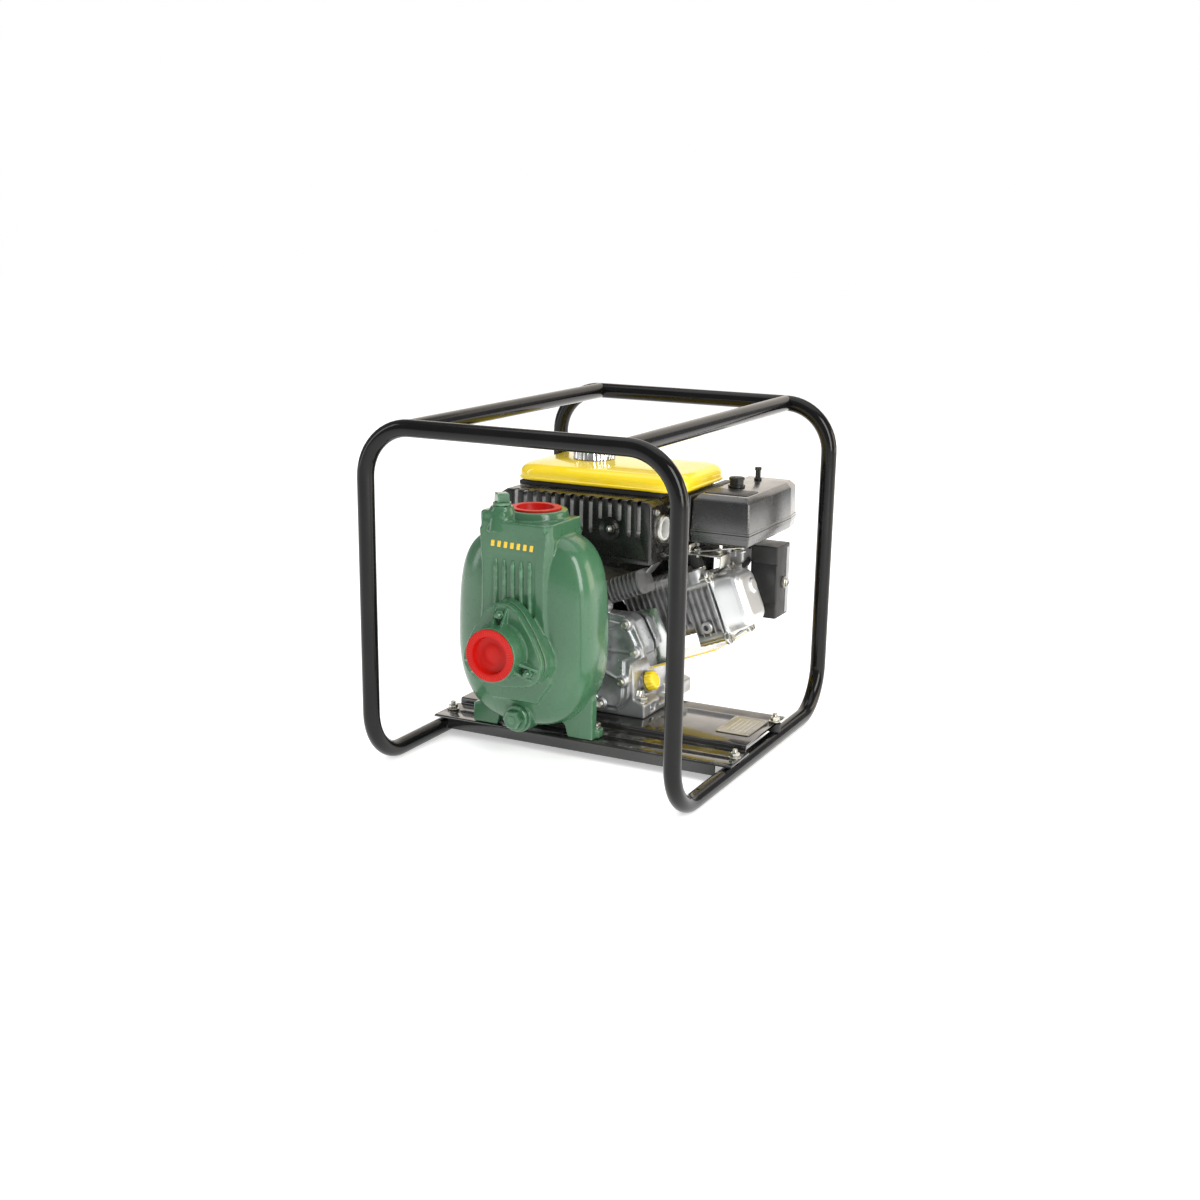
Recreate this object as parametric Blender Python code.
"""Portable engine-driven pump in a tubular carrying frame.

Metres. +X is to the right seen from the pump end, +Y runs from the pump back to the recoil starter, +Z is
up. The origin is on the ground, in the middle of the frame's footprint.
"""

import math

import bmesh
import bpy
from mathutils import Vector

# ---------------------------------------------------------------- driving dimensions

TUBE_RADIUS = 0.0127
TUBE_WALL = 0.0020
TUBE_SIDES = 12
FRAME_HALF_WIDTH = 0.2473
FRAME_HALF_DEPTH = 0.2973
FRAME_TOP = 0.5193
SKID_HEIGHT = TUBE_RADIUS
BEND_RADIUS = 0.076
BEND_STEPS = 4
RAIL_X = 0.170
COPE_GAP = 0.0012

GAP = 0.0003
SHEET = 0.003

SHELF_TOP = 0.031
DECK_TOP = 0.041
SHELF_FRONT = -0.108
DECK_FRONT = -0.035
DECK_BACK = 0.134
SHELF_HALF_WIDTH = 0.258
DECK_HALF_WIDTH = 0.252
FLANGE_HALF_WIDTH = 0.232

STUD_RADIUS = 0.004
STUD_HOLE = 0.0047
NUT_HALF = 0.0065
NUT_HEIGHT = 0.0065
STUD_X = FRAME_HALF_WIDTH
STUD_FRONT_Y = -0.067
STUD_BACK_Y = 0.100

PUMP_X = -0.080
SHAFT_Z = 0.147

BARREL_Z = 0.190
BARREL_Y = -0.100
BARREL_HALF_WIDTH = 0.1165
BARREL_HALF_DEPTH = 0.062
BARREL_DOWN = 0.143
BARREL_UP = 0.163
DOWN_POWER = 2.3
UP_POWER = 3.8
PLAN_POWER = 3.2
BARREL_WALL = 0.0065
PANEL_Y = -0.165
PANEL_HALF_WIDTH = 0.053
NECK_TOP = 0.371
NECK_BACK = -0.060
NECK_HALF_WIDTH = 0.060
PORT_TOP = 0.3830
PORT_Y = -0.095
PORT_RADIUS = 0.049
THREAD_RADIUS = 0.0298
THREAD_DEPTH = 0.019
BORE_RADIUS = 0.026
CAP_RADIUS = 0.0398
CAP_RIM = 0.0030
RIM_SEAT = 0.0005
RIM_SEAT_RADIUS = 0.0402

DRAIN_Y = -0.152
DRAIN_Z = 0.066
SUCTION_Z = 0.184
FILLER = (-0.110, -0.144)
FILLER_TOP = 0.392
FOOT_BOLT_Y = -0.077
PAD_Y = -0.184
GASKET = 0.0014
FLANGE_Y = -0.198
SUCTION_FACE_Y = -0.232
SUCTION_RADIUS = 0.0416
LOBE_STUDS = 0.056
LOBE_INNER = 0.057
LOBE_OUTER = 0.073
LOBES = (90, -30, -150)

TILT = math.radians(22)
CYLINDER_Y = 0.131
STROKE_BORE = 0.0336

TANK_LOW = (-0.200, 0.042, 0.3975)
TANK_HIGH = (0.0985, 0.240, 0.4280)
CLEANER_LOW = (0.100, 0.076, 0.3185)
CLEANER_HIGH = (0.200, 0.305, 0.3950)
CLEANER_SPLIT = 0.337
GUARD_LOW = (-0.2025, 0.000, 0.292)
GUARD_HIGH = (0.069, 0.112, 0.390)

# colour, roughness, metallic
FINISHES = {
    "black_gloss": ((0.010, 0.010, 0.011), 0.22, 0.0),
    "black_satin": ((0.016, 0.016, 0.017), 0.45, 0.0),
    "pump_green": ((0.098, 0.254, 0.127), 0.32, 0.0),
    "port_red": ((0.82, 0.018, 0.012), 0.35, 0.0),
    "tank_yellow": ((0.87, 0.68, 0.020), 0.25, 0.0),
    "aluminium": ((0.60, 0.61, 0.62), 0.38, 0.9),
    "bright_alloy": ((0.78, 0.79, 0.80), 0.28, 0.9),
    "zinc": ((0.62, 0.62, 0.60), 0.30, 1.0),
    "steel": ((0.45, 0.45, 0.46), 0.35, 1.0),
    "chrome": ((0.75, 0.75, 0.76), 0.12, 1.0),
    "rubber": ((0.020, 0.020, 0.020), 0.85, 0.0),
    "gasket": ((0.050, 0.060, 0.050), 0.80, 0.0),
    "iron": ((0.14, 0.14, 0.14), 0.60, 0.6),
    "foam": ((0.06, 0.06, 0.06), 0.95, 0.0),
    "exhaust": ((0.16, 0.15, 0.14), 0.55, 0.8),
}

X_AXIS = Vector((1, 0, 0))
Y_AXIS = Vector((0, 1, 0))
Z_AXIS = Vector((0, 0, 1))


# ---------------------------------------------------------------- outlines, as (across, up) points


def round_outline(count, radius, turn=0.0):
    """Points evenly round a circle."""
    steps = [2 * math.pi * k / count + turn for k in range(count)]
    return [(radius * math.cos(a), radius * math.sin(a)) for a in steps]


def flats_outline(count, half, corners):
    """Points round a regular polygon of the given half width across its flats."""
    step = 2 * math.pi / corners
    points = []
    for k in range(count):
        angle = 2 * math.pi * k / count
        reach = half / math.cos(angle % step - step / 2)
        points.append((reach * math.cos(angle), reach * math.sin(angle)))
    return points


def signed_power(value, power):
    return math.copysign(abs(value) ** power, value)


def superellipse(count, half_x, half_y, power):
    """A box-like round: power 2 is an ellipse, and more is squarer."""
    points = []
    for k in range(count):
        angle = 2 * math.pi * (k + 0.5) / count
        across = half_x * signed_power(math.cos(angle), 2 / power)
        up = half_y * signed_power(math.sin(angle), 2 / power)
        points.append((across, up))
    return points


def rounded_rectangle(low, high, radius, steps=3):
    """A rectangle between two corners, with each corner an arc."""
    centres = (
        (high[0] - radius, high[1] - radius, 0),
        (low[0] + radius, high[1] - radius, 90),
        (low[0] + radius, low[1] + radius, 180),
        (high[0] - radius, low[1] + radius, 270),
    )
    points = []
    for x, y, start in centres:
        for k in range(steps + 1):
            angle = math.radians(start + 90 * k / steps)
            points.append((x + radius * math.cos(angle), y + radius * math.sin(angle)))
    return points


def arc(centre, radius, start, end, steps):
    """Points along an arc, in degrees."""
    points = []
    for k in range(steps + 1):
        angle = math.radians(start + (end - start) * k / steps)
        points.append((centre[0] + radius * math.cos(angle), centre[1] + radius * math.sin(angle)))
    return points


def lobed_outline(count, inner, outer):
    """A rounded triangle whose three lobes carry the suction studs."""
    points = []
    for k in range(count):
        angle = 2 * math.pi * k / count
        wave = (1 + math.cos(3 * (angle - math.radians(LOBES[0])))) / 2
        reach = inner + (outer - inner) * wave**1.4
        points.append((reach * math.cos(angle), reach * math.sin(angle)))
    return points


# ---------------------------------------------------------------- solids, as (points, faces)


def lay(outline, origin, across, up):
    """Carries an outline into space."""
    start = Vector(origin)
    return [start + across * a + up * b for a, b in outline]


def loft(rings, closed=False):
    """A skin over rings of equal length, capped at both ends unless it closes on itself."""
    count = len(rings[0])
    points = [point for ring in rings for point in ring]
    faces = []
    spans = len(rings) if closed else len(rings) - 1
    for i in range(spans):
        near = i * count
        far = (i + 1) % len(rings) * count
        for j in range(count):
            k = (j + 1) % count
            faces.append((near + j, near + k, far + k, far + j))
    if not closed:
        last = (len(rings) - 1) * count
        faces.append(tuple(range(count)))
        faces.append(tuple(range(last, last + count)))
    return points, faces


def prism(outline, origin, across, up, depth):
    """An outline pushed along the normal of its plane."""
    normal = across.cross(up)
    return loft([lay(outline, Vector(origin) + normal * d, across, up) for d in (0, depth)])


def box(low, high):
    """A plain block between two corners."""
    outline = [(low[0], low[1]), (high[0], low[1]), (high[0], high[1]), (low[0], high[1])]
    return prism(outline, (0, 0, low[2]), X_AXIS, Y_AXIS, high[2] - low[2])


def slab(low, high, corner, edge=0.0):
    """A block with round upright corners, and with its top edge turned over when edge is given."""
    levels = [(low[2], 0.0), (high[2] - edge, 0.0)]
    if edge:
        levels += [(high[2] - edge * 0.3, edge * 0.3), (high[2], edge)]
    rings = []
    for height, inset in levels:
        inner_low = (low[0] + inset, low[1] + inset)
        inner_high = (high[0] - inset, high[1] - inset)
        outline = rounded_rectangle(inner_low, inner_high, corner - inset * 0.5)
        rings.append(lay(outline, (0, 0, height), X_AXIS, Y_AXIS))
    return loft(rings)


def frame_of(axis):
    """Two directions square to an axis."""
    axis = Vector(axis).normalized()
    side = Z_AXIS if abs(axis.z) < 0.7 else X_AXIS
    across = side.cross(axis).normalized()
    return across, axis.cross(across)


def turned(stations, origin, axis, count=20, closed=False):
    """A turned piece: each station is (along, half width) or (along, half width, corners)."""
    axis = Vector(axis).normalized()
    across, up = frame_of(axis)
    rings = []
    for along, half, *corners in stations:
        outline = flats_outline(count, half, corners[0]) if corners else round_outline(count, half)
        rings.append(lay(outline, Vector(origin) + axis * along, across, up))
    return loft(rings, closed)


def rod(origin, axis, start, end, radius, count=16):
    return turned([(start, radius), (end, radius)], origin, axis, count)


def several(*solids):
    """Separate shells in one mesh, for a cutter."""
    points = []
    faces = []
    for more_points, more_faces in solids:
        shift = len(points)
        points += more_points
        faces += [tuple(index + shift for index in face) for face in more_faces]
    return points, faces


def bent_path(corners, radius, steps):
    """A line through corners, with each inner corner an arc; every entry is (point, direction)."""
    path = [(corners[0], (corners[1] - corners[0]).normalized())]
    for before, corner, after in zip(corners, corners[1:], corners[2:]):
        inward = (corner - before).normalized()
        outward = (after - corner).normalized()
        centre = corner - inward * radius + outward * radius
        for k in range(steps + 1):
            angle = math.pi / 2 * k / steps
            point = centre - outward * radius * math.cos(angle) + inward * radius * math.sin(angle)
            path.append((point, inward * math.cos(angle) + outward * math.sin(angle)))
    path.append((corners[-1], (corners[-1] - corners[-2]).normalized()))
    return path


def tube(path, radius, wall, sides, across, up):
    """A hollow tube along a path; a flat of it faces down where the path starts."""
    outline = round_outline(sides, 1.0, math.pi / sides)
    outer_reach = radius / math.cos(math.pi / sides)
    inner_reach = (radius - wall) / math.cos(math.pi / sides)
    outer = []
    inner = []
    before = path[0][1]
    for point, direction in path:
        turn = before.rotation_difference(direction)
        across = turn @ across
        up = turn @ up
        before = direction
        for rings, reach in ((outer, outer_reach), (inner, inner_reach)):
            rings.append([point + (across * a + up * b) * reach for a, b in outline])
    return loft(outer + inner[::-1], closed=True)


# ---------------------------------------------------------------- objects


def finish_material(name, finish):
    """A Principled material with the colour, roughness and metallic value of a finish."""
    colour, roughness, metallic = FINISHES[finish]
    material = bpy.data.materials.new(name + "_" + finish)
    material.use_nodes = True
    shader = material.node_tree.nodes["Principled BSDF"]
    shader.inputs["Base Color"].default_value = (*colour, 1)
    shader.inputs["Roughness"].default_value = roughness
    shader.inputs["Metallic"].default_value = metallic
    material.diffuse_color = (*colour, 1)
    return material


def mesh_object(name, solid, pivot):
    """An object from points and faces, with its origin at the pivot."""
    points, faces = solid
    mesh = bpy.data.meshes.new(name)
    origin = Vector(pivot)
    mesh.from_pydata([point - origin for point in points], [], faces)
    work = bmesh.new()
    work.from_mesh(mesh)
    bmesh.ops.recalc_face_normals(work, faces=work.faces)
    work.to_mesh(mesh)
    work.free()
    made = bpy.data.objects.new(name, mesh)
    made.location = origin
    bpy.context.scene.collection.objects.link(made)
    return made


def combine(target, operation, solid):
    """Joins a solid to the target, or cuts it away, with a hidden helper object."""
    name = f"{target.name}_{operation.lower()}_{len(target.modifiers)}"
    helper = mesh_object(name, solid, (0, 0, 0))
    helper.hide_render = True
    helper.display_type = "WIRE"
    step = target.modifiers.new(operation.title(), "BOOLEAN")
    step.operation = operation
    step.object = helper
    step.solver = "EXACT"


def add(name, finish, solid, join=(), cut=(), pivot=(0, 0, 0)):
    """One named piece of the assembly."""
    made = mesh_object(name, solid, pivot)
    made.data.materials.append(finish_material(name, finish))
    made.data.shade_smooth()
    made.data.set_sharp_from_angle(angle=math.radians(35))
    for more in join:
        combine(made, "UNION", more)
    for less in cut:
        combine(made, "DIFFERENCE", less)
    return made


# ---------------------------------------------------------------- frame and base


def hoop(side):
    """Half of the frame: skid ends, uprights and top bar bent from one tube."""
    depth = side * FRAME_HALF_DEPTH
    ends = side * GAP / 2
    corners = [
        Vector((-FRAME_HALF_WIDTH, ends, SKID_HEIGHT)),
        Vector((-FRAME_HALF_WIDTH, depth, SKID_HEIGHT)),
        Vector((-FRAME_HALF_WIDTH, depth, FRAME_TOP)),
        Vector((FRAME_HALF_WIDTH, depth, FRAME_TOP)),
        Vector((FRAME_HALF_WIDTH, depth, SKID_HEIGHT)),
        Vector((FRAME_HALF_WIDTH, ends, SKID_HEIGHT)),
    ]
    path = bent_path(corners, BEND_RADIUS, BEND_STEPS)
    return tube(path, TUBE_RADIUS, TUBE_WALL, TUBE_SIDES, X_AXIS, Z_AXIS)


def top_rail(x):
    """A straight rail whose ends are coped round the top bars."""
    outer = round_outline(TUBE_SIDES, TUBE_RADIUS / math.cos(math.pi / TUBE_SIDES), math.pi / TUBE_SIDES)
    inner = [(a * 0.82, b * 0.82) for a, b in outer]
    bar = TUBE_RADIUS / math.cos(math.pi / TUBE_SIDES) + COPE_GAP
    rings = []
    for outline, side in ((outer, -1), (outer, 1), (inner, 1), (inner, -1)):
        ring = []
        for a, b in outline:
            cope = math.sqrt(max(bar * bar - b * b, 0))
            ring.append(Vector((x + a, side * (FRAME_HALF_DEPTH - cope), FRAME_TOP + b)))
        rings.append(ring)
    return loft(rings, closed=True)


def stud_places():
    for y, bottom in ((STUD_FRONT_Y, SHELF_TOP), (STUD_BACK_Y, DECK_TOP)):
        for x in (-STUD_X, STUD_X):
            yield x, y, bottom


def foot_bolt_places():
    return {"left": (2 * PUMP_X - 0.018, FOOT_BOLT_Y), "right": (0.018, FOOT_BOLT_Y)}


def base_plate():
    """The folded sheet: shelf under the pump, raised deck under the engine, and both end flanges."""
    profile = [
        (SHELF_FRONT, 0.012),
        (SHELF_FRONT, SHELF_TOP),
        (DECK_FRONT, SHELF_TOP),
        (DECK_FRONT, DECK_TOP),
        (DECK_BACK, DECK_TOP),
        (DECK_BACK, 0.012),
        (DECK_BACK - SHEET, 0.012),
        (DECK_BACK - SHEET, DECK_TOP - SHEET),
        (DECK_FRONT + SHEET, DECK_TOP - SHEET),
        (DECK_FRONT + SHEET, SHELF_TOP - SHEET),
        (SHELF_FRONT + SHEET, SHELF_TOP - SHEET),
        (SHELF_FRONT + SHEET, 0.012),
    ]
    solid = prism(profile, (-SHELF_HALF_WIDTH, 0, 0), Y_AXIS, Z_AXIS, 2 * SHELF_HALF_WIDTH)
    trims = []
    for side in (-1, 1):
        flange = sorted((side * FLANGE_HALF_WIDTH, side * 0.3))
        deck = sorted((side * DECK_HALF_WIDTH, side * 0.3))
        trims.append(box((flange[0], -0.2, 0.0), (flange[1], 0.2, SHELF_TOP - SHEET - 0.0001)))
        trims.append(box((flange[0], 0.12, 0.001), (flange[1], 0.2, DECK_TOP - SHEET - 0.0001)))
        trims.append(box((deck[0], DECK_FRONT - 0.001, 0.002), (deck[1], 0.21, 0.1)))
    holes = [rod((x, y, 0), Z_AXIS, 0.02, 0.06, STUD_HOLE, 12) for x, y, _ in stud_places()]
    holes += [rod((x, y, 0), Z_AXIS, 0.02, 0.06, STUD_HOLE, 12) for x, y in foot_bolt_places().values()]
    add("base_plate", "black_gloss", solid, cut=[*trims, several(*holes)])


def base_fasteners():
    """Rubber bushes on the skids, and the stud, washer and nut over each."""
    tube_top = 2 * TUBE_RADIUS + GAP
    for number, (x, y, seat) in enumerate(stud_places(), start=1):
        bush = [
            (tube_top, STUD_HOLE),
            (tube_top, 0.0105),
            (seat - SHEET - GAP, 0.0105),
            (seat - SHEET - GAP, STUD_HOLE),
        ]
        add(f"base_bush_{number}", "rubber", turned(bush, (x, y, 0), Z_AXIS, 16, closed=True))
        washer = seat + GAP
        nut = washer + 0.0016
        stud = [
            (tube_top, STUD_RADIUS),
            (washer, STUD_RADIUS),
            (washer, 0.0095),
            (nut, 0.0095),
            (nut, NUT_HALF, 6),
            (nut + NUT_HEIGHT, NUT_HALF, 6),
            (nut + NUT_HEIGHT, STUD_RADIUS),
            (nut + NUT_HEIGHT + 0.006, STUD_RADIUS),
        ]
        add(f"base_stud_{number}", "zinc", turned(stud, (x, y, 0), Z_AXIS, 12))


def build_frame():
    add("frame_front_hoop", "black_gloss", hoop(-1))
    add("frame_rear_hoop", "black_gloss", hoop(1))
    add("top_rail_left", "black_gloss", top_rail(-RAIL_X))
    add("top_rail_right", "black_gloss", top_rail(RAIL_X))
    base_plate()
    base_fasteners()
    plate_low = (0.184, 0.006, DECK_TOP + GAP)
    plate_high = (0.240, 0.092, DECK_TOP + GAP + 0.0012)
    add("name_plate", "zinc", slab(plate_low, plate_high, 0.004))


# ---------------------------------------------------------------- pump


def barrel(count, levels, wall=0.0):
    """The egg-shaped casing body: level sections that swell and close with height."""
    rings = []
    for k in range(levels):
        angle = math.radians(-78 + 156 * k / (levels - 1))
        power = DOWN_POWER if angle < 0 else UP_POWER
        reach = (BARREL_DOWN if angle < 0 else BARREL_UP) - wall
        rise = signed_power(math.sin(angle), 2 / power)
        width = math.cos(angle) ** (2 / power) * (1 - 0.035 * max(rise, 0))
        half_x = (BARREL_HALF_WIDTH - wall) * width
        half_y = (BARREL_HALF_DEPTH - wall) * width**0.8
        outline = superellipse(count, half_x, half_y, PLAN_POWER)
        rings.append(lay(outline, (PUMP_X, BARREL_Y, BARREL_Z + reach * rise), X_AXIS, Y_AXIS))
    return loft(rings)


def foot(side):
    """One casing foot: an upright web, with an ear behind it for the bolt."""
    web = [
        (PUMP_X + side * 0.040, 0.070),
        (PUMP_X + side * 0.063, SHELF_TOP + GAP),
        (PUMP_X + side * 0.106, SHELF_TOP + GAP),
        (PUMP_X + side * 0.106, 0.094),
        (PUMP_X + side * 0.085, 0.125),
    ]
    return loft([lay(web, (0, y, 0), X_AXIS, Z_AXIS) for y in (FOOT_BOLT_Y - 0.028, FOOT_BOLT_Y - 0.012)])


def foot_ear(side):
    ends = sorted((PUMP_X + side * 0.074, PUMP_X + side * 0.112))
    return box((ends[0], FOOT_BOLT_Y - 0.014, SHELF_TOP + GAP), (ends[1], FOOT_BOLT_Y + 0.012, 0.044))


def pump_casing():
    """The casing casting: barrel, raised front panel, neck, feet and port bosses, bored and cored out."""
    panel = [
        (-PANEL_HALF_WIDTH, 0.345),
        (-PANEL_HALF_WIDTH + 0.001, 0.260),
        (-PANEL_HALF_WIDTH - 0.005, 0.180),
        (-PANEL_HALF_WIDTH - 0.010, 0.130),
        (-0.045, 0.100),
        (0.045, 0.100),
        (PANEL_HALF_WIDTH + 0.010, 0.130),
        (PANEL_HALF_WIDTH + 0.005, 0.180),
        (PANEL_HALF_WIDTH - 0.001, 0.260),
        (PANEL_HALF_WIDTH, 0.345),
    ]
    neck = [
        (-PANEL_HALF_WIDTH, PANEL_Y - 0.0005),
        (PANEL_HALF_WIDTH, PANEL_Y - 0.0005),
        (NECK_HALF_WIDTH, -0.152),
        (NECK_HALF_WIDTH, NECK_BACK),
        (-NECK_HALF_WIDTH, NECK_BACK),
        (-NECK_HALF_WIDTH, -0.152),
    ]
    ribs = []
    for k in range(-2, 3):
        x = PUMP_X + 0.0145 * k
        ribs.append(box((x - 0.003, PANEL_Y - 0.003, 0.238), (x + 0.003, PANEL_Y + 0.01, 0.319)))
    port = (PUMP_X, PORT_Y, 0)
    suction = (PUMP_X, 0, SUCTION_Z)
    shaft = (PUMP_X, 0, SHAFT_Z)
    pad = lobed_outline(24, LOBE_INNER, LOBE_OUTER)
    join = [
        prism(panel, (PUMP_X, -0.120, 0), X_AXIS, Z_AXIS, -0.120 - PANEL_Y),
        prism(neck, (PUMP_X, 0, 0.296), X_AXIS, Y_AXIS, NECK_TOP - 0.296),
        foot(-1),
        foot(1),
        foot_ear(-1),
        foot_ear(1),
        rod(port, Z_AXIS, 0.365, PORT_TOP, PORT_RADIUS, 24),
        loft([lay(pad, (PUMP_X, y, SUCTION_Z), X_AXIS, Z_AXIS) for y in (PAD_Y, -0.150)]),
        rod(shaft, Y_AXIS, -0.075, -0.034, 0.0885, 24),
        rod((PUMP_X, 0, DRAIN_Z), Y_AXIS, DRAIN_Y, -0.100, 0.024, 20),
        rod((*FILLER, 0), Z_AXIS, 0.360, FILLER_TOP, 0.017, 16),
        slab((-0.1385, -0.1635, 0.360), (-0.094, -0.1245, 0.386), 0.008),
        several(*ribs),
    ]
    drill = [rod((PUMP_X + a, 0, SUCTION_Z + b), Y_AXIS, -0.20, -0.168, 0.0046, 8) for a, b in stud_ring()]
    bolt_holes = [rod((x, y, 0), Z_AXIS, 0.02, 0.06, STUD_HOLE, 12) for x, y in foot_bolt_places().values()]
    cut = [
        barrel(20, 7, BARREL_WALL),
        rod(port, Z_AXIS, PORT_TOP - RIM_SEAT, 0.4, RIM_SEAT_RADIUS, 24),
        rod(port, Z_AXIS, PORT_TOP - THREAD_DEPTH, 0.4, THREAD_RADIUS, 24),
        rod(port, Z_AXIS, 0.30, 0.38, BORE_RADIUS, 16),
        rod(suction, Y_AXIS, -0.20, -0.14, BORE_RADIUS, 16),
        rod(shaft, Y_AXIS, -0.100, 0.0, 0.0706, 24),
        several(*drill),
        several(*bolt_holes),
        rod((PUMP_X, 0, DRAIN_Z), Y_AXIS, -0.20, -0.110, 0.0135, 16),
        rod((*FILLER, 0), Z_AXIS, 0.320, 0.41, 0.0105, 16),
    ]
    add("pump_casing", "pump_green", barrel(32, 11), join, cut)


def stud_ring():
    return [(LOBE_STUDS * math.cos(math.radians(a)), LOBE_STUDS * math.sin(math.radians(a))) for a in LOBES]


def suction_side():
    """Gasket, flange with its pipe stub, and the three studs that hold them to the casing."""
    outline = lobed_outline(24, LOBE_INNER, LOBE_OUTER)
    bore = rod((PUMP_X, 0, SUCTION_Z), Y_AXIS, -0.25, -0.15, BORE_RADIUS, 16)
    drill = several(
        *[rod((PUMP_X + a, 0, SUCTION_Z + b), Y_AXIS, -0.21, -0.16, 0.0046, 8) for a, b in stud_ring()]
    )
    gasket_front = PAD_Y - GAP - GASKET
    layers = {
        "suction_gasket": ("gasket", gasket_front, PAD_Y - GAP),
        "suction_flange": ("pump_green", FLANGE_Y, gasket_front - GAP),
    }
    pipe = rod((PUMP_X, 0, SUCTION_Z), Y_AXIS, SUCTION_FACE_Y, FLANGE_Y + 0.004, SUCTION_RADIUS, 24)
    mouth = rod((PUMP_X, 0, SUCTION_Z), Y_AXIS, -0.25, SUCTION_FACE_Y + THREAD_DEPTH, THREAD_RADIUS, 24)
    seat = rod((PUMP_X, 0, SUCTION_Z), Y_AXIS, -0.25, SUCTION_FACE_Y + RIM_SEAT, RIM_SEAT_RADIUS, 24)
    for name, (finish, front, back) in layers.items():
        rings = [lay(outline, (PUMP_X, y, SUCTION_Z), X_AXIS, Z_AXIS) for y in (front, back)]
        join = [pipe] if name == "suction_flange" else []
        cut = [bore, drill, mouth, seat] if join else [bore, drill]
        add(name, finish, loft(rings), join, cut)
    nut = FLANGE_Y - GAP
    for number, (a, b) in enumerate(stud_ring(), start=1):
        stud = [
            (-0.170, STUD_RADIUS),
            (nut, STUD_RADIUS),
            (nut, NUT_HALF, 6),
            (nut - NUT_HEIGHT, NUT_HALF, 6),
            (nut - NUT_HEIGHT, STUD_RADIUS),
            (nut - NUT_HEIGHT - 0.009, STUD_RADIUS),
        ]
        place = (PUMP_X + a, 0, SUCTION_Z + b)
        add(f"suction_stud_{number}", "zinc", turned(stud, place, Y_AXIS, 12))


def check_flap():
    """The non-return flap inside the casing: a disc that hangs from a pin above the suction bore."""
    hinge = (PUMP_X, -0.1480, SUCTION_Z + 0.036)
    disc = rod((PUMP_X, 0, SUCTION_Z), Y_AXIS, -0.1505, -0.1465, 0.030, 20)
    strap = box((PUMP_X - 0.010, -0.1502, SUCTION_Z + 0.010), (PUMP_X + 0.010, -0.1468, SUCTION_Z + 0.036))
    pin = rod(hinge, X_AXIS, -0.016, 0.016, 0.0024, 12)
    add("check_flap", "rubber", disc, join=[strap, pin], pivot=hinge)


def port_caps():
    """The two push-in plugs that close the ports for storage: a rim on the face round a sunk cup."""
    cup = [
        (-0.0150, 0.0280),
        (GAP, 0.0290),
        (GAP, CAP_RADIUS),
        (CAP_RIM, CAP_RADIUS),
        (CAP_RIM, 0.0272),
        (-0.0070, 0.0262),
    ]
    places = {
        "suction_cap": ((PUMP_X, SUCTION_FACE_Y + RIM_SEAT, SUCTION_Z), -Y_AXIS),
        "discharge_cap": ((PUMP_X, PORT_Y, PORT_TOP - RIM_SEAT), Z_AXIS),
    }
    for name, (place, axis) in places.items():
        add(name, "port_red", turned(cup, place, axis, 24), pivot=place)


def casing_plugs():
    """The filler plug on the neck and the drain plug in the belly."""
    place = (*FILLER, FILLER_TOP)
    filler = [
        (-0.020, 0.0098),
        (GAP, 0.0098),
        (GAP, 0.0140),
        (0.005, 0.0140),
        (0.005, 0.0095, 4),
        (0.019, 0.0095, 4),
    ]
    add("fill_plug", "pump_green", turned(filler, place, Z_AXIS, 16), pivot=place)
    place = (PUMP_X, DRAIN_Y, DRAIN_Z)
    drain = [
        (-0.030, 0.0128),
        (GAP, 0.0128),
        (GAP, 0.0200),
        (0.007, 0.0200),
        (0.007, 0.0135, 6),
        (0.018, 0.0135, 6),
    ]
    add("drain_plug", "pump_green", turned(drain, place, -Y_AXIS, 24), pivot=place)


def foot_bolts():
    for side, (x, y) in foot_bolt_places().items():
        head = 0.044 + GAP
        under = SHELF_TOP - SHEET - GAP
        bolt = [
            (under - NUT_HEIGHT, NUT_HALF, 6),
            (under, NUT_HALF, 6),
            (under, STUD_RADIUS),
            (head, STUD_RADIUS),
            (head, NUT_HALF, 6),
            (head + 0.0055, NUT_HALF, 6),
        ]
        add(f"pump_foot_bolt_{side}", "zinc", turned(bolt, (x, y, 0), Z_AXIS, 12))


def bladed_wheel(name, finish, front, back, plate, radius, hub, bore, blades, pivot):
    """A plate with straight radial blades and a bored hub; it turns about the shaft."""
    outline = []
    for k in range(blades):
        angle = 2 * math.pi * k / blades
        outward = Vector((math.cos(angle), math.sin(angle)))
        side = Vector((-outward.y, outward.x)) * 0.0016
        outline.append(tuple(outward * hub - side))
        outline.append(tuple(outward * radius * 0.97 - side))
        outline.append(tuple(outward * radius * 0.97 + side))
        outline.append(tuple(outward * hub + side))
        middle = angle + math.pi / blades
        outline.append((hub * math.cos(middle), hub * math.sin(middle)))
    centre = (PUMP_X, 0, SHAFT_Z)
    reach = (front, back - plate * 0.5)
    vanes = loft([lay(outline, (PUMP_X, y, SHAFT_Z), X_AXIS, Z_AXIS) for y in reach])
    disc = rod(centre, Y_AXIS, back - plate, back, radius, 24)
    hole = rod(centre, Y_AXIS, front - 0.02, back + 0.02, bore, 16)
    add(name, finish, disc, join=[vanes], cut=[hole], pivot=pivot)


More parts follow.
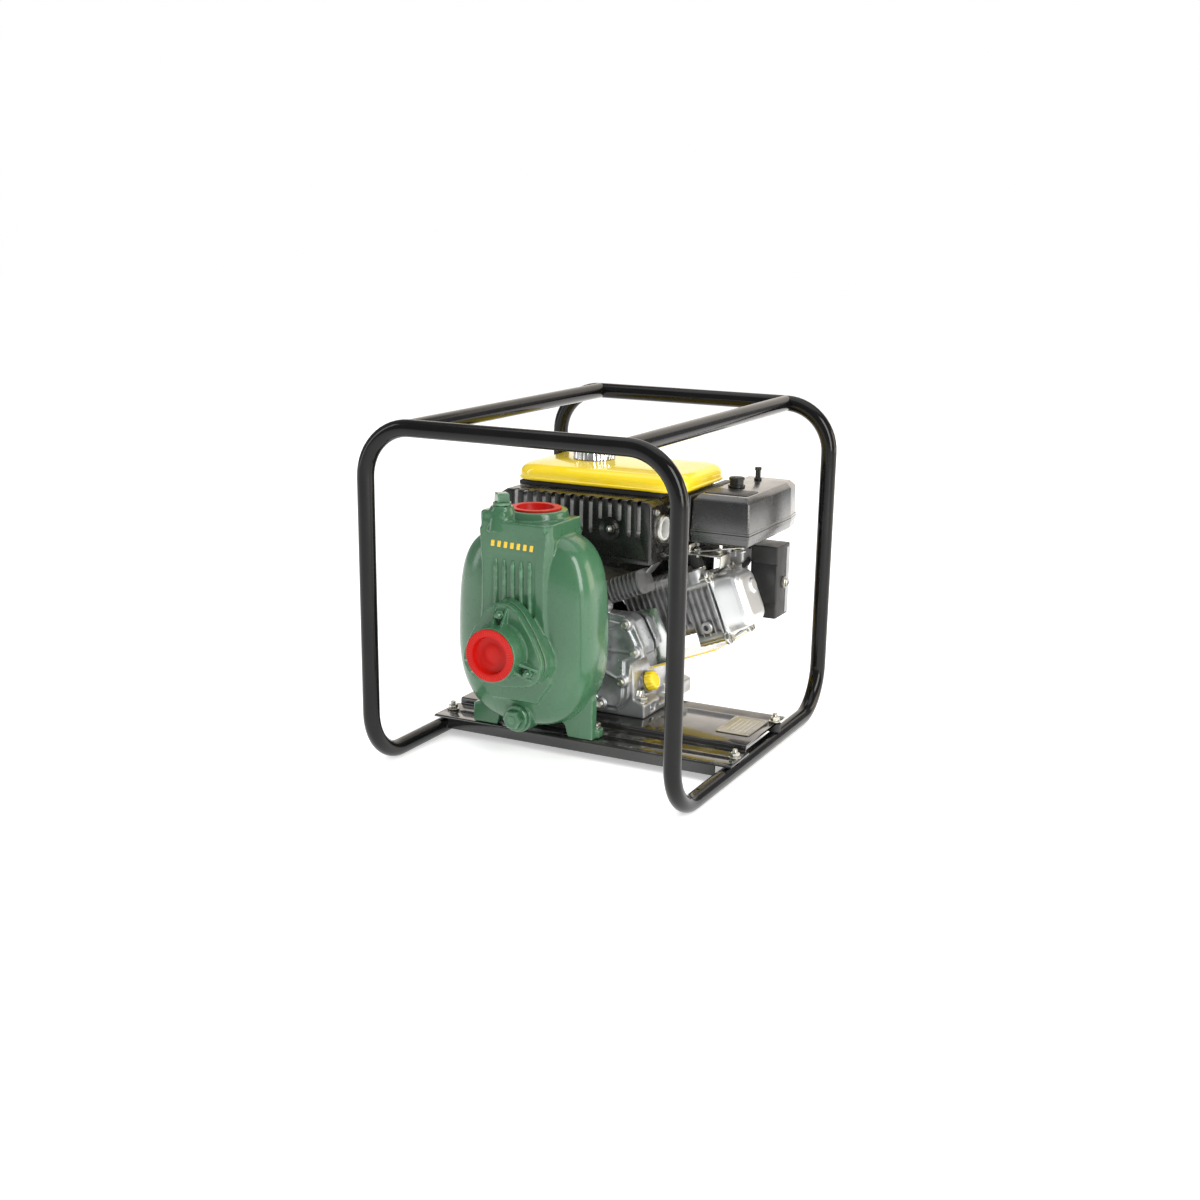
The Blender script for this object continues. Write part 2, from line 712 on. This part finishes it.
def pump_inside():
    """Adapter bracket, volute, impeller and shaft seal."""
    centre = (PUMP_X, 0, SHAFT_Z)
    adapter = [
        (-0.0450, 0.0195),
        (-0.0450, 0.0695),
        (-0.0337, 0.0695),
        (-0.0337, 0.0880),
        (-0.0240, 0.0880),
        (-0.0150, 0.0700),
        (-0.0104, 0.0700),
        (-0.0104, 0.0130),
        (-0.0330, 0.0130),
        (-0.0330, 0.0195),
    ]
    add("pump_adapter", "aluminium", turned(adapter, centre, Y_AXIS, 24, closed=True))
    volute = [
        (-0.0920, 0.0240),
        (-0.0920, 0.0680),
        (-0.0456, 0.0680),
        (-0.0456, 0.0630),
        (-0.0880, 0.0630),
        (-0.0880, 0.0240),
    ]
    outlet = box((PUMP_X, -0.086, SHAFT_Z + 0.040), (PUMP_X + 0.030, -0.052, SHAFT_Z + 0.090))
    add("volute", "iron", turned(volute, centre, Y_AXIS, 24, closed=True), cut=[outlet])
    bladed_wheel("impeller", "iron", -0.0840, -0.0600, 0.004, 0.055, 0.014, 0.0091, 5, centre)
    seal = [(-0.0445, 0.0120), (-0.0445, 0.0188), (-0.0335, 0.0188), (-0.0335, 0.0120)]
    add("shaft_seal", "rubber", turned(seal, centre, Y_AXIS, 20, closed=True))


def build_pump():
    pump_casing()
    suction_side()
    check_flap()
    port_caps()
    casing_plugs()
    foot_bolts()
    pump_inside()


# ---------------------------------------------------------------- engine

OUTWARD = Vector((math.cos(TILT), 0, math.sin(TILT)))
ACROSS = Vector((-math.sin(TILT), 0, math.cos(TILT)))
SHAFT = Vector((PUMP_X, 0, SHAFT_Z))


def tilted(out, across, y):
    """A point given along the cylinder, across it, and along the shaft."""
    return SHAFT + OUTWARD * out + ACROSS * across + Y_AXIS * y


def tilted_outline_points(pairs):
    """(x, z) points of places given along and across the cylinder."""
    return [(tilted(a, b, 0).x, tilted(a, b, 0).z) for a, b in pairs]


def case_outline(with_feet):
    """The crankcase seen from the pump: round on the left, and open to the tilted cylinder on the right."""
    round_side = arc((PUMP_X, SHAFT_Z), 0.100, 112, 200, 6)
    bottom = DECK_TOP + GAP
    if with_feet:
        left = [(-0.182, 0.070), (-0.222, 0.064), (-0.222, bottom)]
        right = [(0.0626, bottom), (0.0626, 0.064), (0.042, 0.070), (0.042, 0.105)]
    else:
        left = [(-0.170, 0.075), (-0.130, 0.050)]
        right = [(0.020, 0.050), (0.038, 0.075), (0.040, 0.105)]
    shoulder = tilted_outline_points([(0.104, -0.060), (0.104, 0.060)])
    return round_side + left + right + shoulder


def crankcase():
    outline = case_outline(with_feet=True)
    solid = loft([lay(outline, (0, y, 0), X_AXIS, Z_AXIS) for y in (0.0050, 0.1900)])
    neck_axis = Vector((math.cos(math.radians(20)), 0, math.sin(math.radians(20))))
    neck_place = (0.036, 0.047, 0.087)
    neck = rod(neck_place, neck_axis, -0.006, 0.014, 0.0150, 16)
    cut = [
        rod(SHAFT, Y_AXIS, -0.01, 0.178, 0.088, 24),
        rod(SHAFT, Y_AXIS, 0.1, 0.2, 0.0125, 16),
        rod(tilted(0, 0, CYLINDER_Y), OUTWARD, 0.050, 0.12, 0.038, 24),
        rod(neck_place, neck_axis, -0.06, 0.02, 0.0080, 12),
    ]
    add("crankcase", "aluminium", solid, join=[neck], cut=cut)
    cap = [
        (-0.045, 0.0025),
        (0.0, 0.0025),
        (0.0, 0.0072),
        (0.0143, 0.0072),
        (0.0143, 0.0160),
        (0.0265, 0.0160),
        (0.0290, 0.0135),
    ]
    add("oil_filler_cap", "tank_yellow", turned(cap, neck_place, neck_axis, 18), pivot=neck_place)


def side_cover():
    outline = case_outline(with_feet=False)
    solid = loft([lay(outline, (0, y, 0), X_AXIS, Z_AXIS) for y in (-0.0100, 0.0047)])
    hole = rod(SHAFT, Y_AXIS, -0.02, 0.02, 0.0125, 16)
    bosses = [rod((x, 0, z), Y_AXIS, -0.014, -0.004, 0.010, 12) for x, z in cover_bosses()]
    add("side_cover", "aluminium", solid, join=[several(*bosses)], cut=[hole])


def cover_bosses():
    """Where the side cover's bolts stand, as (x, z)."""
    return ((0.012, 0.188), (0.030, 0.148), (-0.150, 0.090), (-0.150, 0.205), (-0.020, 0.215))


def crankshaft():
    """Shaft, two webs and the pin between them, lofted through rings with their own centres."""
    pin_side = -ACROSS * 0.029
    stations = [
        (-0.0960, 0.0085, 0),
        (-0.0590, 0.0085, 0),
        (-0.0590, 0.0112, 0),
        (0.1080, 0.0112, 0),
        (0.1080, 0.0420, 0),
        (0.1200, 0.0420, 0),
        (0.1200, 0.0120, 1),
        (0.1420, 0.0120, 1),
        (0.1420, 0.0420, 0),
        (0.1540, 0.0420, 0),
        (0.1540, 0.0112, 0),
        (0.2460, 0.0112, 0),
    ]
    rings = []
    for y, radius, on_pin in stations:
        centre = SHAFT + Y_AXIS * y + pin_side * on_pin
        rings.append(lay(round_outline(16, radius), centre, X_AXIS, Z_AXIS))
    add("crankshaft", "steel", loft(rings), pivot=SHAFT)


def piston():
    place = tilted(0, 0, CYLINDER_Y)
    crown = [(0.112, 0.0330), (0.155, 0.0330)]
    hollow = [(0.10, 0.0285), (0.149, 0.0285)]
    room = turned(hollow, place, OUTWARD, 20)
    add("piston", "aluminium", turned(crown, place, OUTWARD, 20), cut=[room], pivot=place)


def finned_block(start, end, fins, half_across, half_y, centre_across, depth, count=12):
    """A squarish block with cooling fins round it."""
    pitch = (end - start) / fins
    rings = []
    for k in range(fins):
        for share, inset in ((0.0, 0.0), (0.45, 0.0), (0.45, depth), (1.0, depth)):
            if k == fins - 1 and share == 1.0:
                continue
            outline = superellipse(count, half_across - inset, half_y - inset, 6)
            place = tilted(start + pitch * (k + share), centre_across, CYLINDER_Y)
            rings.append(lay(outline, place, ACROSS, Y_AXIS))
    outline = superellipse(count, half_across - depth, half_y - depth, 6)
    rings.append(lay(outline, tilted(end, centre_across, CYLINDER_Y), ACROSS, Y_AXIS))
    return loft(rings)


def top_end():
    """Cylinder, head and head cover, one behind the other along the tilted bore."""
    bore = rod(tilted(0, 0, CYLINDER_Y), OUTWARD, 0.09, 0.20, STROKE_BORE, 24)
    barrel_block = finned_block(0.1053, 0.1900, 5, 0.052, 0.049, 0.0, 0.008)
    add("cylinder", "aluminium", barrel_block, cut=[bore])
    head_centre = -0.0205
    head = finned_block(0.1903, 0.2355, 3, 0.056, 0.049, head_centre, 0.006)
    add("cylinder_head", "aluminium", head)
    rings = []
    for out, across, deep in (
        (0.2358, 0.0590, 0.0510),
        (0.2415, 0.0590, 0.0510),
        (0.2415, 0.0510, 0.0430),
        (0.2600, 0.0490, 0.0410),
        (0.2710, 0.0430, 0.0350),
        (0.2760, 0.0330, 0.0250),
    ):
        outline = superellipse(24, across, deep, 4.5)
        rings.append(lay(outline, tilted(out, head_centre, CYLINDER_Y), ACROSS, Y_AXIS))
    add("head_cover", "bright_alloy", loft(rings))
    boot = [
        (GAP, 0.0070),
        (0.018, 0.0100),
        (0.040, 0.0100),
        (0.046, 0.0070),
    ]
    place = tilted(0.216, 0.0360, 0.112)
    add("spark_plug_boot", "rubber", turned(boot, place, ACROSS, 14))
    lip = [
        (0.078, -0.0805),
        (0.200, -0.0805),
        (0.200, -0.0790),
        (0.0795, -0.0790),
        (0.0795, -0.0700),
        (0.078, -0.0700),
    ]
    rings = [[tilted(out, across, y) for y, across in lip] for out in (0.110, 0.2345)]
    add("cylinder_shroud", "tank_yellow", loft(rings))


def rotating_back():
    """Flywheel, fan housing, rope pulley and starter grip."""
    bladed_wheel("flywheel", "iron", 0.2170, 0.2060, -0.010, 0.090, 0.030, 0.0116, 10, SHAFT)
    housing = [
        (0.1905, 0.1010),
        (0.1905, 0.1040),
        (0.2480, 0.1040),
        (0.2650, 0.0940),
        (0.2830, 0.0780),
        (0.2830, 0.0010),
        (0.2560, 0.0010),
        (0.2560, 0.0090),
        (0.2800, 0.0090),
        (0.2800, 0.0760),
        (0.2630, 0.0910),
        (0.2470, 0.1010),
    ]
    centre_plug = rod(SHAFT, Y_AXIS, 0.2565, 0.2825, 0.004, 12)
    rope_z = SHAFT_Z + 0.0335
    rope_hole = rod((PUMP_X, 0.268, rope_z), X_AXIS, 0.05, 0.12, 0.004, 10)
    shell = turned(housing, SHAFT, Y_AXIS, 24, closed=True)
    add("fan_housing", "tank_yellow", shell, join=[centre_plug], cut=[rope_hole])
    pulley = [
        (0.2600, 0.0095),
        (0.2600, 0.0360),
        (0.2640, 0.0360),
        (0.2640, 0.0300),
        (0.2720, 0.0300),
        (0.2720, 0.0360),
        (0.2760, 0.0360),
        (0.2760, 0.0095),
    ]
    add("starter_pulley", "black_satin", turned(pulley, SHAFT, Y_AXIS, 20, closed=True), pivot=SHAFT)
    place = (PUMP_X, 0.268, rope_z)
    rope = rod(place, X_AXIS, 0.003, 0.110, 0.0020, 8)
    bar = slab((0.0225, 0.2580, rope_z - 0.032), (0.0420, 0.2780, rope_z + 0.032), 0.0085)
    add("starter_grip", "black_satin", bar, join=[rope], pivot=place)


def exhaust():
    """Muffler can with its outlet, inside a slotted guard."""
    low = (-0.176, 0.014, 0.302)
    high = (0.055, 0.104, 0.381)
    outlet_y = 0.046
    outlet_z = 0.343
    can = slab(low, high, 0.016)
    inner_low = tuple(value + 0.002 for value in low)
    inner_high = tuple(value - 0.002 for value in high)
    outlet = rod((0, outlet_y, outlet_z), X_AXIS, 0.050, 0.073, 0.0185, 20)
    bore = rod((0, outlet_y, outlet_z), X_AXIS, 0.040, 0.08, 0.0150, 20)
    add("muffler", "exhaust", can, join=[outlet], cut=[slab(inner_low, inner_high, 0.014), bore])
    corner_x = GUARD_LOW[0] + 0.017
    corner_z = GUARD_HIGH[2] - 0.011
    outline = [
        (GUARD_LOW[0], GUARD_LOW[2]),
        (GUARD_HIGH[0], GUARD_LOW[2]),
        (GUARD_HIGH[0], GUARD_HIGH[2] - 0.006),
        (GUARD_HIGH[0] - 0.006, GUARD_HIGH[2]),
        (corner_x, GUARD_HIGH[2]),
        (GUARD_LOW[0], corner_z),
    ]
    wall = 0.0015
    inside = [
        (GUARD_LOW[0] + wall, GUARD_LOW[2] - 0.01),
        (GUARD_HIGH[0] - wall, GUARD_LOW[2] - 0.01),
        (GUARD_HIGH[0] - wall, GUARD_HIGH[2] - 0.0066),
        (GUARD_HIGH[0] - 0.0066, GUARD_HIGH[2] - wall),
        (corner_x + 0.0006, GUARD_HIGH[2] - wall),
        (GUARD_LOW[0] + wall, corner_z - 0.0006),
    ]
    shell = loft([lay(outline, (0, y, 0), X_AXIS, Z_AXIS) for y in (GUARD_LOW[1], GUARD_HIGH[1])])
    room = loft([lay(inside, (0, y, 0), X_AXIS, Z_AXIS) for y in (GUARD_LOW[1] + wall, GUARD_HIGH[1] + 0.01)])
    slots = []
    for k in range(14):
        x = -0.168 + 0.01662 * k
        bottom = 0.357 if k in (9, 10, 11) else 0.333
        slots.append(box((x - 0.0027, -0.01, bottom), (x + 0.0027, 0.010, 0.41)))
    window = rod((0, outlet_y, outlet_z), X_AXIS, 0.06, 0.08, 0.0215, 20)
    add("muffler_guard", "black_gloss", shell, cut=[room, several(*slots), window])


def fuel_tank():
    """A shallow slab over the muffler, with a deeper well behind it and a filler neck on top."""
    filler = (-0.098, 0.135, 0)
    wall = 0.0018
    body = slab(TANK_LOW, TANK_HIGH, 0.040, 0.010)
    well_low = (-0.180, 0.122, 0.342)
    well_high = (0.080, 0.232, 0.402)
    inner = slab(
        (TANK_LOW[0] + wall, TANK_LOW[1] + wall, TANK_LOW[2] + wall),
        (TANK_HIGH[0] - wall, TANK_HIGH[1] - wall, TANK_HIGH[2] - wall),
        0.038,
        0.010,
    )
    well_inner = slab(
        (well_low[0] + wall, well_low[1] + wall, well_low[2] + wall),
        (well_high[0] - wall, well_high[1] - wall, 0.4005),
        0.018,
    )
    neck = rod(filler, Z_AXIS, 0.424, 0.4370, 0.0245, 16)
    mouth = rod(filler, Z_AXIS, 0.410, 0.45, 0.0205, 16)
    well = slab(well_low, well_high, 0.020)
    add("fuel_tank", "tank_yellow", body, join=[well, neck], cut=[inner, well_inner, mouth])
    cap = [(0.4286, 0.0345), (0.4480, 0.0345), (0.4520, 0.0300)]
    recess = rod(filler, Z_AXIS, 0.42, 0.4385, 0.0262, 16)
    centre = (filler[0], filler[1], 0.44)
    add("fuel_cap", "chrome", turned(cap, filler, Z_AXIS, 24), cut=[recess], pivot=centre)


def cleaner_outline(inset):
    """The air cleaner from above: a box with one corner cut off behind."""
    low = (CLEANER_LOW[0] + inset, CLEANER_LOW[1] + inset)
    high = (CLEANER_HIGH[0] - inset, CLEANER_HIGH[1] - inset)
    return [low, (high[0], low[1]), (high[0], high[1] - 0.042), (high[0] - 0.006, high[1]), (low[0], high[1])]


def air_cleaner():
    """Tray, filter element, and a cover held by two knobs."""
    wall = 0.0025

    def stack(levels):
        return loft([lay(cleaner_outline(inset), (0, 0, z), X_AXIS, Y_AXIS) for z, inset in levels])

    tray = stack([(CLEANER_LOW[2], 0.004), (CLEANER_LOW[2] + 0.004, 0.0), (CLEANER_SPLIT, 0.0)])
    tray_room = stack([(CLEANER_LOW[2] + wall, 0.006), (CLEANER_SPLIT + 0.01, 0.006)])
    add("air_cleaner_base", "black_satin", tray, cut=[tray_room])
    add("air_filter", "foam", slab((0.112, 0.095, CLEANER_LOW[2] + 0.003), (0.186, 0.285, 0.372), 0.012))
    top = CLEANER_HIGH[2]
    bottom = CLEANER_SPLIT + GAP
    cover = stack([(bottom, 0.0015), (top - 0.008, 0.0025), (top, 0.0105)])
    room = stack([(bottom - 0.01, 0.0045), (top - 0.008, 0.0052), (top - wall, 0.0110)])
    knobs = {"knob_front": ((0.136, 0.178), 0.0140, 0.015), "knob_rear": ((0.140, 0.261), 0.0065, 0.020)}
    holes = [rod((x, y, 0), Z_AXIS, 0.38, 0.40, 0.0040, 12) for (x, y), _, _ in knobs.values()]
    add("air_cleaner_cover", "black_satin", cover, cut=[room, several(*holes)])
    for name, ((x, y), radius, height) in knobs.items():
        shape = [
            (0.3800, 0.0032),
            (top + GAP, 0.0032),
            (top + GAP, radius),
            (top + height, radius),
            (top + height + 0.0015, radius * 0.85),
        ]
        add(name, "black_satin", turned(shape, (x, y, 0), Z_AXIS, 18), pivot=(x, y, top))


def flat_lever(name, finish, place, axis, direction, length, half_width, thick, hole=0.0):
    """A thin lever from its pivot outwards, round at both ends."""
    axis = Vector(axis).normalized()
    direction = Vector(direction).normalized()
    side = axis.cross(direction)
    outline = arc((0, 0), half_width * 1.4, 90, 270, 6) + arc((length, 0), half_width, -90, 90, 5)
    rings = [lay(outline, Vector(place) + axis * rise, direction, side) for rise in (0, thick)]
    cut = [rod(place, axis, -0.01, thick + 0.01, hole, 10)] if hole else []
    add(name, finish, loft(rings), cut=cut, pivot=place)


def fuel_system():
    """Carburettor below the air cleaner, and the levers that work it."""
    body = slab((0.110, 0.185, 0.266), (0.150, 0.228, 0.3180), 0.008)
    bowl = rod((0.130, 0.206, 0), Z_AXIS, 0.244, 0.270, 0.019, 16)
    post = rod((0.130, 0.166, 0), Z_AXIS, 0.282, 0.2985, 0.006, 12)
    arm = box((0.124, 0.160, 0.280), (0.136, 0.190, 0.290))
    add("carburettor", "aluminium", body, join=[bowl, arm, post])
    throttle = (0.130, 0.166, 0.2990)
    choke = (0.1505, 0.208, 0.296)
    cock = (0.1505, 0.205, 0.272)
    flat_lever("throttle_lever", "zinc", throttle, Z_AXIS, (0.80, -0.60, 0), 0.045, 0.005, 0.002)
    flat_lever("choke_lever", "black_satin", choke, X_AXIS, (0, -0.3, 0.7), 0.016, 0.004, 0.003)
    flat_lever("fuel_cock_lever", "black_satin", cock, X_AXIS, (0, -1, -0.2), 0.024, 0.004, 0.003)
    add("control_box", "black_satin", slab((0.158, 0.196, 0.181), (0.205, 0.252, 0.300), 0.004))
    knob = [(GAP, 0.0095), (0.0040, 0.0095), (0.0040, 0.0045, 4), (0.0085, 0.0045, 4)]
    place = (0.205, 0.224, 0.238)
    add("engine_switch", "zinc", turned(knob, place, X_AXIS, 16), pivot=place)


def build_engine():
    crankcase()
    side_cover()
    crankshaft()
    piston()
    top_end()
    rotating_back()
    exhaust()
    fuel_tank()
    air_cleaner()
    fuel_system()


def clear_scene():
    for old in list(bpy.data.objects):
        bpy.data.objects.remove(old)


def main():
    clear_scene()
    build_frame()
    build_pump()
    build_engine()


main()
